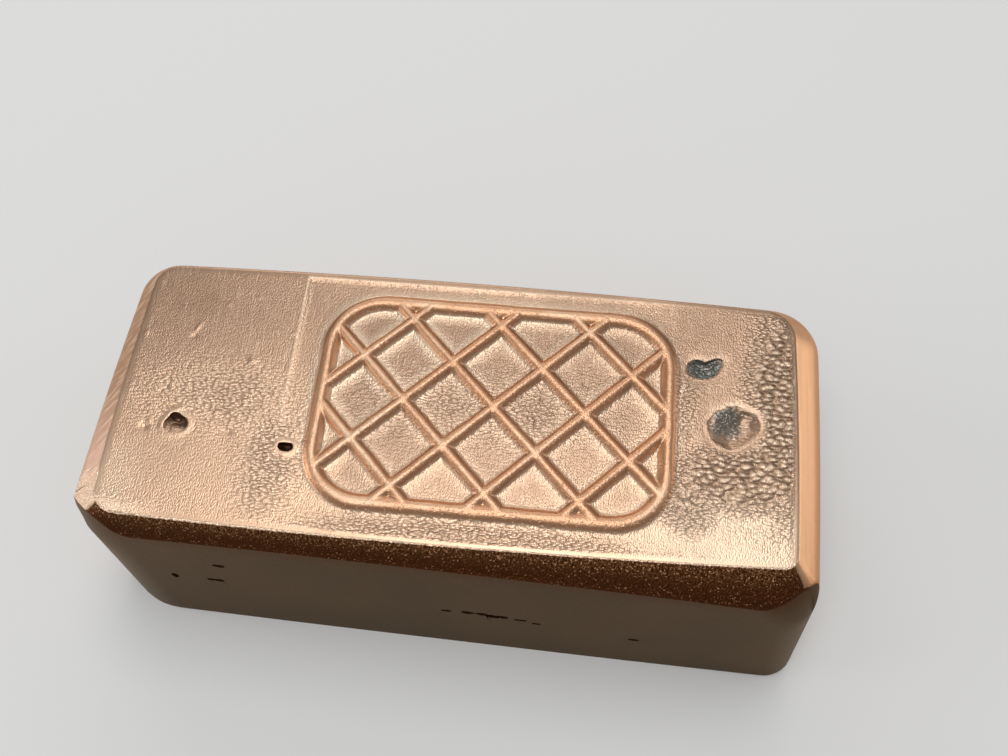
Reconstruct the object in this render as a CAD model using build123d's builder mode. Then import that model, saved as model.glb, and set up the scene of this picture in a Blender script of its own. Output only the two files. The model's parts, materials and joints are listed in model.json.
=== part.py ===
from build123d import *
from math import atan, ceil, cos, degrees, radians, sin, tan
import os

os.makedirs("parts", exist_ok=True)

# Poured copper bar, lying on its poured side, long side along X, ground side towards -Y.
# All sizes in millimetres.

# Bar at the shoulder, where the walls end and the top edge turns over
bar_height = 28.0
shoulder_drop = 2.8
shoulder_left_back = 45.3
shoulder_left_front = 47.1
shoulder_right_back = 47.1
shoulder_right_front = 45.9
shoulder_back = 18.9
shoulder_front_left = 20.0
shoulder_front_right = 22.0

# Walls lean outwards towards the poured side
draft_left = 1.0
draft_right = 4.5
draft_back = 5.5
draft_front = 8.5

# How far the top's edges stand inside the shoulder
inset_left_back = 2.9
inset_left_front = 4.0
inset_right_back = 4.0
inset_right_front = 3.2
inset_back = 1.6
inset_front_left = 2.3
inset_front_right = 4.8

# Outward bow of the sides
bow_ends = 0.3
bow_sides = 0.8

# Rounded corners seen from above, of the walls and of the top
corner_back_left = 4.6
corner_back_right = 6.0
corner_front_right = 3.6
corner_front_left = 4.4
top_corner_back_left = 2.9
top_corner_back_right = 3.8
top_corner_front_right = 1.6
top_corner_front_left = 3.3

# Rounded edges, and the bevelled foot
shoulder_round = 3.0
ridge_round = 0.55
foot_bevel = 1.3

# Flat ground side, placed on the middle line at the height of the top. Its upright corners are
# rounded too, the right one most of all at the top.
ground_y = -20.55
ground_draft = 7.3
ground_turn = -1.2
ground_margin = 0.3
ground_flare = 5.0
ground_left_radius = 8.0
ground_left_radius_foot = 11.0
ground_right_radius = 12.0
ground_right_radius_shoulder = 5.6
ground_right_radius_foot = 4.6

# Shallow field left by the stamp plate, which runs out to the right and to the front
plate_left = -21.6
plate_back = 17.0
plate_length = 56.0
plate_width = 30.0
plate_step = 0.28

# Raised ornament: a frame with a lattice inside
frame_length = 46.4
frame_width = 30.0
frame_corner = 8.0
frame_x = 4.9
frame_y = 0.1
frame_rib = 2.2
lattice_rib = 1.8
lattice_pitch = 8.2
lattice_angle = 45.0
relief_height = 0.9
relief_draft = 22.0
relief_bevel = 0.15
bevel_draft = 50.0
least_opening = 2.5

# Gas cavities in the top, pear-shaped: x, y, length, width, depth, turn of the narrow end
top_cavities = [
    (31.6, 8.4, 5.2, 3.5, 1.9, 24.0),
    (35.1, 0.4, 6.6, 6.0, 2.1, 30.0),
    (-34.9, -5.4, 3.2, 2.7, 1.1, 100.0),
    (-20.5, -7.5, 2.0, 1.4, 1.2, 0.0),
    (-28.4, -6.0, 2.0, 1.1, 0.3, -12.0),
    (-38.9, -6.2, 1.5, 1.2, 0.3, 15.0),
    (-35.5, 6.9, 1.1, 0.7, 0.2, 10.0),
]

# Pores in the ground side, the same shape: x, height, length, width, depth, turn
side_pores = [
    (-35.7, 13.8, 1.0, 0.85, 0.8, 0.0),
    (-28.6, 19.1, 1.8, 0.6, 0.5, -8.0),
    (-30.2, 13.8, 2.4, 0.5, 0.4, -6.0),
    (6.4, 12.1, 5.6, 0.8, 0.6, 2.0),
    (25.5, 9.2, 1.5, 0.5, 0.5, -6.0),
]

# A hollow's narrow end against its wide one, its floor against its narrow end, and how far its
# cutter reaches out of the metal
narrow_share = 0.6
floor_share = 0.45
cutter_reach = 0.2


# The bar's outline at one height, from its corners (back left, back right, front right, front
# left) and their radii
def bar_outline(height, places, radii):
    back_left, back_right, front_right, front_left = places
    with BuildSketch(Plane.XY.offset(height)) as outline:
        with BuildLine():
            for start, end, bow in (
                (back_left, back_right, (0, bow_sides)),
                (back_right, front_right, (bow_ends, 0)),
                (front_right, front_left, (0, -bow_sides)),
                (front_left, back_left, (-bow_ends, 0)),
            ):
                ThreePointArc(start, (Vector(*start) + Vector(*end)) / 2 + Vector(*bow), end)
        make_face()
        for place, radius in zip(places, radii):
            fillet(outline.vertices().sort_by_distance((*place, 0))[0], radius)
    return outline.sketch.face()


# What the grinding leaves at one height: all that lies behind the ground side
def ground_outline(height, left_radius, right_radius):
    below = bar_height - height
    left = -shoulder_left_front - ground_margin - below * tan(radians(draft_left))
    right = shoulder_right_front + ground_margin + below * tan(radians(draft_right))
    middle = ground_y - below * tan(radians(ground_draft)) / cos(radians(ground_turn))
    slope = tan(radians(ground_turn))
    flare = (shoulder_back - ground_y) * 2 * tan(radians(ground_flare))
    front_left = (left, middle + left * slope)
    front_right = (right, middle + right * slope)
    with BuildSketch(Plane.XY.offset(height)) as outline:
        with BuildLine():
            Polyline(
                front_left,
                front_right,
                (right + flare, shoulder_back - ground_y),
                (left - flare, shoulder_back - ground_y),
                close=True,
            )
        make_face()
        fillet(outline.vertices().sort_by_distance((*front_left, 0))[0], left_radius)
        fillet(outline.vertices().sort_by_distance((*front_right, 0))[0], right_radius)
    return outline.sketch.face()


# The drafted cutter of a pear-shaped hollow, sunk into the metal under its mouth plane
def hollow_cutter(mouth, length, width, depth):
    wide = width / 2
    narrow = wide * narrow_share
    slope = narrow * (1 - floor_share) / depth
    with BuildPart() as cutter:
        with BuildSketch(mouth.offset(cutter_reach)):
            with Locations((wide - length / 2, 0)):
                Circle(wide + cutter_reach * slope)
            with Locations((length / 2 - narrow, 0)):
                Circle(narrow + cutter_reach * slope)
            make_hull()
        extrude(amount=-depth - cutter_reach, taper=degrees(atan(slope)))
    return cutter.part


# The raised frame and lattice, as wide as named at their foot, with bevelled crests
def relief_block(rise, lean):
    crest_plane = Plane.XY.offset(bar_height + relief_height)
    rib_length = frame_length + frame_width
    rib_count = 2 * ceil(rib_length / lattice_pitch / 2) + 1
    bevel_depth = relief_bevel / (tan(radians(bevel_draft)) - tan(radians(relief_draft)))
    with BuildPart() as relief:
        with BuildSketch(crest_plane.offset(-rise)):
            with Locations((frame_x, frame_y)):
                RectangleRounded(frame_length, frame_width, frame_corner)
        extrude(amount=rise, taper=relief_draft)
        with BuildSketch(crest_plane):
            with Locations((frame_x, frame_y)):
                RectangleRounded(
                    frame_length - 2 * lean - 2 * relief_bevel,
                    frame_width - 2 * lean - 2 * relief_bevel,
                    frame_corner - lean - relief_bevel,
                )
        extrude(amount=-rise, taper=-bevel_draft, mode=Mode.INTERSECT)
        for wider, depth, draft in (
            (lean, rise, relief_draft),
            (lean + relief_bevel, 2 * bevel_depth, bevel_draft),
        ):
            with BuildSketch(crest_plane) as openings:
                with Locations((frame_x, frame_y)):
                    RectangleRounded(
                        frame_length - 2 * frame_rib + 2 * wider,
                        frame_width - 2 * frame_rib + 2 * wider,
                        frame_corner - frame_rib + wider,
                    )
                for turn in (lattice_angle, -lattice_angle):
                    with Locations(Location((frame_x, frame_y), turn)):
                        with GridLocations(lattice_pitch, 0, rib_count, 1):
                            Rectangle(lattice_rib - 2 * wider, rib_length, mode=Mode.SUBTRACT)
            for opening in openings.sketch.faces():
                if opening.area > least_opening:
                    extrude(opening, amount=-depth, taper=draft, mode=Mode.SUBTRACT)
    return relief.part


shoulder_height = bar_height - shoulder_drop
shoulder_corners = [
    (-shoulder_left_back, shoulder_back),
    (shoulder_right_back, shoulder_back),
    (shoulder_right_front, -shoulder_front_right),
    (-shoulder_left_front, -shoulder_front_left),
]
lean_left = shoulder_height * tan(radians(draft_left))
lean_right = shoulder_height * tan(radians(draft_right))
lean_back = shoulder_height * tan(radians(draft_back))
lean_front = shoulder_height * tan(radians(draft_front))
foot_corners = [
    (-shoulder_left_back - lean_left, shoulder_back + lean_back),
    (shoulder_right_back + lean_right, shoulder_back + lean_back),
    (shoulder_right_front + lean_right, -shoulder_front_right - lean_front),
    (-shoulder_left_front - lean_left, -shoulder_front_left - lean_front),
]
top_corners = [
    (-shoulder_left_back + inset_left_back, shoulder_back - inset_back),
    (shoulder_right_back - inset_right_back, shoulder_back - inset_back),
    (shoulder_right_front - inset_right_front, -shoulder_front_right + inset_front_right),
    (-shoulder_left_front + inset_left_front, -shoulder_front_left + inset_front_left),
]
wall_radii = [corner_back_left, corner_back_right, corner_front_right, corner_front_left]
top_radii = [
    top_corner_back_left,
    top_corner_back_right,
    top_corner_front_right,
    top_corner_front_left,
]

with BuildPart() as ingot:
    # Walls from the foot to the shoulder, and the turned-over edge above them
    foot = bar_outline(0, foot_corners, wall_radii)
    shoulder = bar_outline(shoulder_height, shoulder_corners, wall_radii)
    top = bar_outline(bar_height, top_corners, top_radii)
    loft(sections=[foot, shoulder], ruled=True)
    loft(sections=[shoulder, top], ruled=True)

    # Bevelled foot, rounded ridge and shoulder
    chamfer(ingot.edges().group_by(Axis.Z)[0], foot_bevel)
    fillet(ingot.edges().group_by(Axis.Z)[-1], ridge_round)
    shoulder_edges = ingot.edges().filter_by(
        lambda edge: edge.bounding_box().size.Z < 0.1
        and abs(edge.center().Z - shoulder_height) < 0.1
    )
    fillet(shoulder_edges, shoulder_round)

    # Ground side with its rounded corners: only what lies behind it stays
    shoulder_share = 2 * shoulder_drop / bar_height
    left_radius_change = ground_left_radius_foot - ground_left_radius
    loft(
        sections=[
            ground_outline(0, ground_left_radius_foot, ground_right_radius_foot),
            ground_outline(
                bar_height * (1 - shoulder_share),
                ground_left_radius + left_radius_change * shoulder_share,
                ground_right_radius_shoulder,
            ),
            ground_outline(bar_height, ground_left_radius, ground_right_radius),
        ],
        ruled=True,
        mode=Mode.INTERSECT,
    )
    ground_normal = Vector(0, -cos(radians(ground_draft)), sin(radians(ground_draft)))
    ground_plane = Plane(
        origin=(0, ground_y, bar_height),
        x_dir=Vector(1, 0, 0).rotate(Axis.Z, ground_turn),
        z_dir=ground_normal.rotate(Axis.Z, ground_turn),
    )

    # Field of the stamp plate, deepest at its back left corner
    field_right = Vector(plate_length, 0, plate_step)
    field_back = Vector(0, plate_width, -plate_step)
    field_plane = Plane(
        origin=(plate_left, plate_back, bar_height - plate_step),
        x_dir=field_right,
        z_dir=field_right.cross(field_back),
    )
    with BuildSketch(field_plane):
        Rectangle(plate_length, plate_width, align=(Align.MIN, Align.MAX))
    extrude(amount=plate_step * 2, mode=Mode.SUBTRACT)

    # Ornament, a drafted block with drafted openings between its ribs
    relief_rise = plate_step + relief_height
    rib_lean = relief_rise * tan(radians(relief_draft))
    add(relief_block(relief_rise, rib_lean))

    # Gas cavities of the top
    for x, y, length, width, depth, turn in top_cavities:
        mouth = Plane(origin=(x, y, bar_height)).rotated((0, 0, turn))
        add(hollow_cutter(mouth, length, width, depth), mode=Mode.SUBTRACT)

    # Pores of the ground side
    for x, height, length, width, depth, turn in side_pores:
        below_top = (bar_height - height) / cos(radians(ground_draft))
        mouth = ground_plane.shift_origin(ground_plane.from_local_coords((x, -below_top, 0)))
        add(hollow_cutter(mouth.rotated((0, 0, turn)), length, width, depth), mode=Mode.SUBTRACT)

# The finished bar stands centred over the origin
middle = ingot.part.bounding_box().center()
ingot.part.locate(Location((-middle.X, -middle.Y, 0)))
ingot.part.label = "ingot"
print("moved by", round(-middle.X, 3), round(-middle.Y, 3))
print("volume", round(ingot.part.volume), "mm3")

export_step(ingot.part, "parts/ingot.step")
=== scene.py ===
import bpy
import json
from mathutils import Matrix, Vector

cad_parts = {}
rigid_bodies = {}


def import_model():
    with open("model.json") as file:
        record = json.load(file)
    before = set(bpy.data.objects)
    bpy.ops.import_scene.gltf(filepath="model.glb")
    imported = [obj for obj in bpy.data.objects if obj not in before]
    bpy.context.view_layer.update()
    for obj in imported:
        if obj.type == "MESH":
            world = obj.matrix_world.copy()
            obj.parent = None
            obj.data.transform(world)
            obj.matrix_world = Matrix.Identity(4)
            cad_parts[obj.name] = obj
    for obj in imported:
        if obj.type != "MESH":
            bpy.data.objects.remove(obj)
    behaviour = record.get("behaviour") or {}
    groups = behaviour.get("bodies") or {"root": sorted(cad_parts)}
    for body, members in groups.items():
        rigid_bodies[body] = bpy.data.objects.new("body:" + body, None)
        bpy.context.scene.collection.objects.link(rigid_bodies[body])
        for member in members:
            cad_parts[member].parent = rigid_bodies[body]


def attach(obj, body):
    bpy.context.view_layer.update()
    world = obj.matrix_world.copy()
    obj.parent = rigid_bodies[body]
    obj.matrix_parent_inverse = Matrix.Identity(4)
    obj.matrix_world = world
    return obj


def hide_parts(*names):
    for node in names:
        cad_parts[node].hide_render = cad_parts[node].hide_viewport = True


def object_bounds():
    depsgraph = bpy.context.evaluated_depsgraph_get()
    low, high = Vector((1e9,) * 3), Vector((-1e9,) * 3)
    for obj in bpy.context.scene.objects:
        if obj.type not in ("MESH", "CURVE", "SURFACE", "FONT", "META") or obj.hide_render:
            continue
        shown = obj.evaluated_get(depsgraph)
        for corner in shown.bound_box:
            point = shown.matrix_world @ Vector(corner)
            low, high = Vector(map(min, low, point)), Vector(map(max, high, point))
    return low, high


for leftover in list(bpy.data.objects):
    bpy.data.objects.remove(leftover)
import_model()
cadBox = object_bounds()

import json
import math
import numpy as np
from mathutils import Vector

mm = 0.001
arcPull = 0.5523  # handle length that makes a cubic follow a quarter circle


def operators(operation):
    # an operator and its reflected form
    return (lambda wire, other: wire.bench.reckon(operation, wire, other),
            lambda wire, other: wire.bench.reckon(operation, other, wire))


class Wire:
    # a socket that can be reckoned with, or read from another output of its node
    def __init__(self, bench, socket):
        self.bench = bench
        self.socket = socket

    def other(self, name):
        return Wire(self.bench, self.socket.node.outputs[name])

    __add__, __radd__ = operators("ADD")
    __sub__, __rsub__ = operators("SUBTRACT")
    __mul__, __rmul__ = operators("MULTIPLY")
    __truediv__, __rtruediv__ = operators("DIVIDE")
    __pow__, __rpow__ = operators("POWER")


class Bench:
    # makes the nodes of one tree
    def __init__(self, tree):
        self.tree = tree

    def make(self, kind, settings=None, values=None, out=0):
        # settings first, then values or links; a list links each of its wires to one socket
        node = self.tree.nodes.new(kind)
        for name, value in (settings or {}).items():
            setattr(node, name, value)
        for key, value in (values or {}).items():
            for single in value if isinstance(value, list) else [value]:
                if isinstance(single, Wire):
                    self.tree.links.new(single.socket, node.inputs[key])
                else:
                    node.inputs[key].default_value = single
        return Wire(self, node.outputs[out]) if len(node.outputs) else node

    def reckon(self, operation, *values):
        return self.make("ShaderNodeMath", {"operation": operation}, dict(enumerate(values)))

    def smaller(self, first, second):
        return self.reckon("MINIMUM", first, second)

    def larger(self, first, second):
        return self.reckon("MAXIMUM", first, second)

    def size(self, value):
        return self.reckon("ABSOLUTE", value)

    def rise(self, value, low, high):
        # 0 at low, 1 at high and beyond, smooth between; low may be the larger of the two
        return self.make("ShaderNodeMapRange", {"interpolation_type": "SMOOTHSTEP"},
                         {"Value": value, "From Min": low, "From Max": high})

    def blend(self, share, first, second):
        # sockets 0, 6 and 7 are the factor and the two colours
        return self.make("ShaderNodeMix", {"data_type": "RGBA"}, {0: share, 6: first, 7: second}, out=2)

    def stretch(self, vector, scale):
        return self.make("ShaderNodeVectorMath", {"operation": "MULTIPLY"}, {0: vector, 1: scale})

    def noise(self, vector, scale, detail=2.0, rough=0.5, out=0):
        values = {"Vector": vector, "Scale": scale, "Detail": detail, "Roughness": rough}
        return self.make("ShaderNodeTexNoise", {}, values, out)


# Bar, sizes in millimetres and places from the middle of its top. Corners and sides go round
# from the front left: front, right, back, left
bar = {
    "shift": (-0.77, 1.495),
    "height": 28.0,
    "shoulderDrop": 2.8,
    "shoulder": ((-47.1, -20.0), (45.9, -22.0), (47.1, 18.9), (-45.3, 18.9)),
    "top": ((-43.1, -17.7), (42.7, -17.2), (43.1, 17.3), (-42.4, 17.3)),
    "lean": {"front": 8.5, "right": 4.5, "back": 5.5, "left": 1.0},
    "bows": (0.8, 0.3, 0.8, 0.3),
    "wallRadii": (4.4, 3.6, 6.0, 4.6),
    "topRadii": (3.3, 1.6, 3.8, 2.9),
    "ridgeRound": 0.55,
    "shoulderRound": 3.0,
    "footBevel": 1.3,
    "ground": {
        "y": -20.55, "lean": 7.3, "turn": -1.2, "margin": 0.3, "flareStart": 39.45, "flare": 6.9,
        "heights": (0.0, 22.4, 28.0), "left": (11.0, 9.2, 13.0), "right": (4.6, 5.6, 12.0),
    },
    # columns of points along the front and along the right
    "columns": (376, 160),
    # points of the finer lines that the columns and rings are read from
    "outlinePoints": {"side": 400, "corner": 60},
    "profilePoints": {"ridge": 8, "band": 14, "shoulder": 14, "wall": 60, "foot": 8},
    # least depth that counts as ground, columns that pass over beside it, least height of the rest
    "groundLeast": 0.004,
    "passColumns": 14,
    "wallLeast": 0.5,
    # shares of the way down the ridge, the band, the wall and the foot at which points lie
    "rings": ((0.35, 0.7, 1.0), (0.07, 0.17, 0.27, 0.38, 0.49, 0.6, 0.71, 0.82, 0.92, 1.0),
              (0.012, 0.1, 0.22, 0.35, 0.48, 0.61, 0.74, 0.87, 1.0), (0.25, 0.5, 0.75, 1.0)),
    # the underside has a point for every few of the foot, and two waves
    "footStep": 4,
    "underside": {"inset": 0.02, "hollow": 0.09, "long": (0.05, 7.0, 5.0), "short": (0.03, 2.3)},
    # edges are sharp from this angle on, but not where the ornament's halo is stronger than this
    "sharpFrom": 38,
    "softHalo": 0.05,
}


def unit(vectors):
    return vectors / np.linalg.norm(vectors, axis=-1, keepdims=True)


def cubic(t, start, nearStart, nearEnd, end):
    return (1 - t) ** 3 * start + 3 * t * (1 - t) ** 2 * nearStart + 3 * t**2 * (1 - t) * nearEnd + t**3 * end


def bowedOutline(corners, radii, counts):
    # four bowed sides with rounded corners, each side's points evenly spaced from corner to corner
    fine = bar["outlinePoints"]
    corners = np.array(corners)
    lengths = [np.hypot(*(corners[(side + 1) % 4] - corners[side])) for side in range(4)]

    def along(side, share):
        share = np.atleast_1d(share)[:, None]
        run = corners[(side + 1) % 4] - corners[side]
        outwards = np.array((run[1], -run[0])) / lengths[side]
        return corners[side] + run * share + outwards * bar["bows"][side] * 4 * share * (1 - share)

    def rounding(corner, t):
        before = (corner - 1) % 4
        start = along(before, 1 - radii[corner] / lengths[before])
        end = along(corner, radii[corner] / lengths[corner])
        nearStart = start + arcPull * (corners[corner] - start)
        nearEnd = end + arcPull * (corners[corner] - end)
        return cubic(t[:, None], start, nearStart, nearEnd, end)

    points = []
    for side in range(4):
        after = (side + 1) % 4
        shares = np.linspace(radii[side] / lengths[side], 1 - radii[after] / lengths[side], fine["side"])
        chain = np.vstack([rounding(side, np.linspace(0.5, 1, fine["corner"])), along(side, shares[1:-1]),
                           rounding(after, np.linspace(0, 0.5, fine["corner"]))])
        steps = np.r_[0, np.cumsum(np.hypot(*np.diff(chain, axis=0).T))]
        wanted = np.linspace(0, steps[-1], counts[side % 2] + 1)[:-1]
        points.append(np.c_[np.interp(wanted, steps, chain[:, 0]), np.interp(wanted, steps, chain[:, 1])])
    return np.vstack(points)


def patch(edge, nx, ny):
    # fills a four-sided loop of points with a grid
    front = edge[: nx + 1]
    right = edge[nx : nx + ny + 1]
    back = edge[nx + ny : 2 * nx + ny + 1][::-1]
    left = np.vstack([edge[2 * nx + ny :], edge[:1]])[::-1]
    u = np.linspace(0, 1, nx + 1)[:, None, None]
    v = np.linspace(0, 1, ny + 1)[None, :, None]
    grid = (1 - v) * front[:, None] + v * back[:, None] + (1 - u) * left[None] + u * right[None]
    grid -= (1 - v) * ((1 - u) * front[0] + u * front[-1]) + v * ((1 - u) * back[0] + u * back[-1])
    return grid


def gridFaces(start, nx, ny):
    corners = [start + a * (ny + 1) + b for a in range(nx) for b in range(ny)]
    return [(corner, corner + ny + 1, corner + ny + 2, corner + 1) for corner in corners]


def edgeOrder(nx, ny):
    # the grid's rim as (i, j), in the order of the loop
    rim = [(i, 0) for i in range(nx)] + [(nx, j) for j in range(ny)]
    rim += [(i, ny) for i in range(nx, 0, -1)] + [(0, j) for j in range(ny, 0, -1)]
    return np.array(rim)


def turnedCorner(before, corner, after, radius, steps):
    # arcs of one radius between two straight legs, one arc for each column
    first = unit(before - corner)
    second = unit(after - corner)
    turn = np.pi - np.arccos(np.clip((first * second).sum(1), -1, 1))
    back = (radius * np.tan(turn / 2))[:, None]
    pull = (4 / 3 * np.tan(turn / 4) * radius)[:, None]
    start = corner + first * back
    end = corner + second * back
    t = np.linspace(0, 1, steps)[None, :, None]
    return cubic(t, start[:, None], (start - first * pull)[:, None], (end - second * pull)[:, None], end[:, None])


def groundReach(points):
    # how far points lie outside of what the grinding leaves, and the level way out
    ground = bar["ground"]
    x, y, z = np.moveaxis(points, -1, 0)
    below = bar["height"] - z
    turn = math.radians(ground["turn"])
    middle = ground["y"] - below * math.tan(math.radians(ground["lean"])) / math.cos(turn)
    front = np.array((math.sin(turn), -math.cos(turn)))
    reach = x * front[0] + (y - middle) * front[1]
    way = np.broadcast_to(front, (*x.shape, 2)).copy()
    for sign, side, corner in ((-1, "left", 0), (1, "right", 1)):
        edge = sign * (abs(bar["shoulder"][corner][0]) + ground["margin"]
                       + below * math.tan(math.radians(bar["lean"][side])))
        start = middle + edge * math.tan(turn)
        back = ground["flareStart"] - start
        flared = unit(np.stack((sign * back, np.full(x.shape, -ground["flare"])), axis=-1))
        away = (x - edge) * flared[..., 0] + (y - start) * flared[..., 1]
        reach, way = np.maximum(reach, away), np.where((away > reach)[..., None], flared, way)
        radius = np.interp(z, ground["heights"], ground[side])
        share = flared @ front
        centre = np.stack((edge, start), axis=-1) - (front + flared) * (radius / (1 + share))[..., None]
        spoke = np.stack((x, y), axis=-1) - centre
        u, v = spoke @ front, (spoke * flared).sum(-1)
        inside = (u - share * v > 0) & (v - share * u > 0)
        length = np.maximum(np.linalg.norm(spoke, axis=-1), 1e-9)
        reach = np.where(inside, length - radius, reach)
        way = np.where(inside[..., None], spoke / length[..., None], way)
    return reach, way


def barSurface():
    # the top's rim, ring after ring down to the foot, and which columns were ground
    counts = bar["columns"]
    number = bar["profilePoints"]
    shoulderZ = bar["height"] - bar["shoulderDrop"]
    leans = {side: shoulderZ * math.tan(math.radians(angle)) for side, angle in bar["lean"].items()}
    spread = np.array([(-leans["left"], -leans["front"]), (leans["right"], -leans["front"]),
                       (leans["right"], leans["back"]), (-leans["left"], leans["back"])])

    def loop(z, corners, radii):
        flat = bowedOutline(corners, radii, counts)
        return np.c_[flat, np.full(len(flat), z)]

    foot = loop(0, np.array(bar["shoulder"]) + spread, bar["wallRadii"])
    shoulder = loop(shoulderZ, bar["shoulder"], bar["wallRadii"])
    ridge = loop(bar["height"], bar["top"], bar["topRadii"])
    along = np.roll(ridge, -1, axis=0) - np.roll(ridge, 1, axis=0)
    inwards = unit(np.c_[-along[:, 1], along[:, 0], np.zeros(len(ridge))])

    def straight(start, stop, name):
        share = np.linspace(0, 1, number[name])[None, :, None]
        return start[:, None] * (1 - share) + stop[:, None] * share

    ridgeArc = turnedCorner(ridge + inwards, ridge, shoulder, bar["ridgeRound"], number["ridge"])
    shoulderArc = turnedCorner(ridge, shoulder, foot, bar["shoulderRound"], number["shoulder"])
    upwards = unit(shoulder - foot)
    footBevel = straight(foot + upwards * bar["footBevel"], foot + inwards * bar["footBevel"], "foot")
    band = straight(ridgeArc[:, -1], shoulderArc[:, 0], "band")[:, 1:-1]
    wall = straight(shoulderArc[:, -1], footBevel[:, 0], "wall")[:, 1:-1]
    profile = np.concatenate([ridgeArc, band, shoulderArc, wall, footBevel], axis=1)
    steps = np.linalg.norm(np.diff(profile, axis=1), axis=2)
    run = np.concatenate([np.zeros((len(profile), 1)), np.cumsum(steps, axis=1)], axis=1)

    # where each column passes into the ground side and out of it; the ridge itself is never ground
    proud = groundReach(profile)[0]
    proud[:, : number["ridge"]] = np.minimum(proud[:, : number["ridge"]], -0.01)
    ridgeEnd, footStart, end = run[:, number["ridge"] - 1], run[:, -number["foot"]], run[:, -1]
    shoulderEnd = run[:, number["ridge"] + number["band"] + number["shoulder"] - 3]
    enter, leave = shoulderEnd.copy(), footStart.copy()
    cut = proud.max(axis=1) > bar["groundLeast"]
    for k in np.nonzero(cut)[0]:
        out = np.nonzero(proud[k] > 0)[0]
        a, b = out[0], out[-1]
        enter[k] = np.interp(0, proud[k, a - 1 : a + 1], run[k, a - 1 : a + 1])
        if b + 1 == len(proud[k]):
            leave[k] = end[k]
        else:
            leave[k] = np.interp(0, proud[k, b + 1 : b - 1 : -1], run[k, b + 1 : b - 1 : -1])
    # the columns beside the ground ones pass over to the shoulder and the foot step by step
    total = len(cut)
    ground = np.nonzero(cut)[0]
    for k in np.nonzero(~cut)[0]:
        away = np.minimum(np.abs(ground - k), total - np.abs(ground - k))
        nearest = ground[away.argmin()]
        share = np.clip(1 - away.min() / bar["passColumns"], 0, 1) ** 2
        enter[k] += (enter[nearest] / shoulderEnd[nearest] - 1) * shoulderEnd[k] * share
        leave[k] += (leave[nearest] - footStart[nearest]) * share
    enter = np.minimum(enter, leave - bar["wallLeast"])

    starts = (np.zeros(total), ridgeEnd, enter, leave)
    stops = (ridgeEnd, enter, leave, end)
    rings = []
    for start, stop, shares in zip(starts, stops, bar["rings"]):
        for share in shares:
            wanted = start + (stop - start) * share
            ring = np.array([[np.interp(wanted[k], run[k], profile[k, :, c]) for c in range(3)]
                             for k in range(total)])
            reach, way = groundReach(ring)
            ring[:, :2] -= way * np.maximum(reach, 0)[:, None]
            rings.append(ring)
    return ridgeArc[:, 0], rings, cut


# Top face: the shallow field, wrinkle zones and small marks
topFace = {
    "plateCorner": (-21.6, 17.0),
    "plateSize": (56.0, 30.0),
    # depth of the field in its corner and the width of its edge
    "plateStep": 0.2,
    "plateEdge": 0.6,
    # lip just outside the field: height, place and width
    "plateLip": (0.035, -0.3, 0.24),
    # the field's edge lip also gets a painted highlight, this strong
    "plateShine": 0.6,
    # lip round each cavity: place and width, then where the painted highlight along its inner edge starts and how far
    # it reaches
    "cavityLip": (0.2, 0.45),
    "cavityShine": (0.1, 0.4),
    # wrinkles start this far from a cavity, and are never weaker there than this share
    "cavityCalm": (1.2, 0.15),
    "markFall": 1.6,
    # points over which the marks and wrinkles fade in from the rim
    "rimFade": 4,
    "wrinkleBase": 0.12,
    # x, y, half length, half width, strength
    "wrinkleZones": [
        (42.5, 3.5, 5.5, 14, 1.5), (36.5, -6.5, 8, 4, 1.5), (29.5, -10, 4, 4.5, 0.8),
        (4, -17.5, 24, 3, 0.7), (5, 0, 26, 8, 0.4), (-22, -9, 5, 9, 0.6),
        (-31, -1, 15, 6.5, 0.5), (38, -13.5, 8, 4, 0.25), (29, 3, 3, 9, 0.45),
    ],
    # x, y, half length, half width, height, turn
    "marks": [
        (-27, 4.1, 0.55, 0.5, 0.28, 0), (-28.4, -6, 1, 0.5, -0.22, -12), (-35.2, 8.3, 0.9, 0.18, 0.16, 62),
        (-35.5, 6.9, 0.45, 0.25, -0.16, 10), (-38.9, -6.2, 0.6, 0.5, -0.3, 15), (-38.5, -5.7, 0.4, 0.25, 0.16, 60),
        (-31.8, 12.1, 0.25, 0.25, 0.12, 0), (-27.8, 13.5, 0.6, 0.14, 0.08, 0), (-24.7, 8.6, 0.5, 0.14, 0.1, -15),
        (-22.5, 8.4, 0.3, 0.2, 0.1, 20), (-41.9, 6.9, 0.4, 0.3, 0.1, 30), (-31, 1.4, 0.9, 0.16, 0.08, 0),
        (-20.5, -8.9, 1.1, 0.22, 0.1, 0), (-34.8, -3.4, 1.2, 0.3, 0.1, 8),
    ],
}
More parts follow.
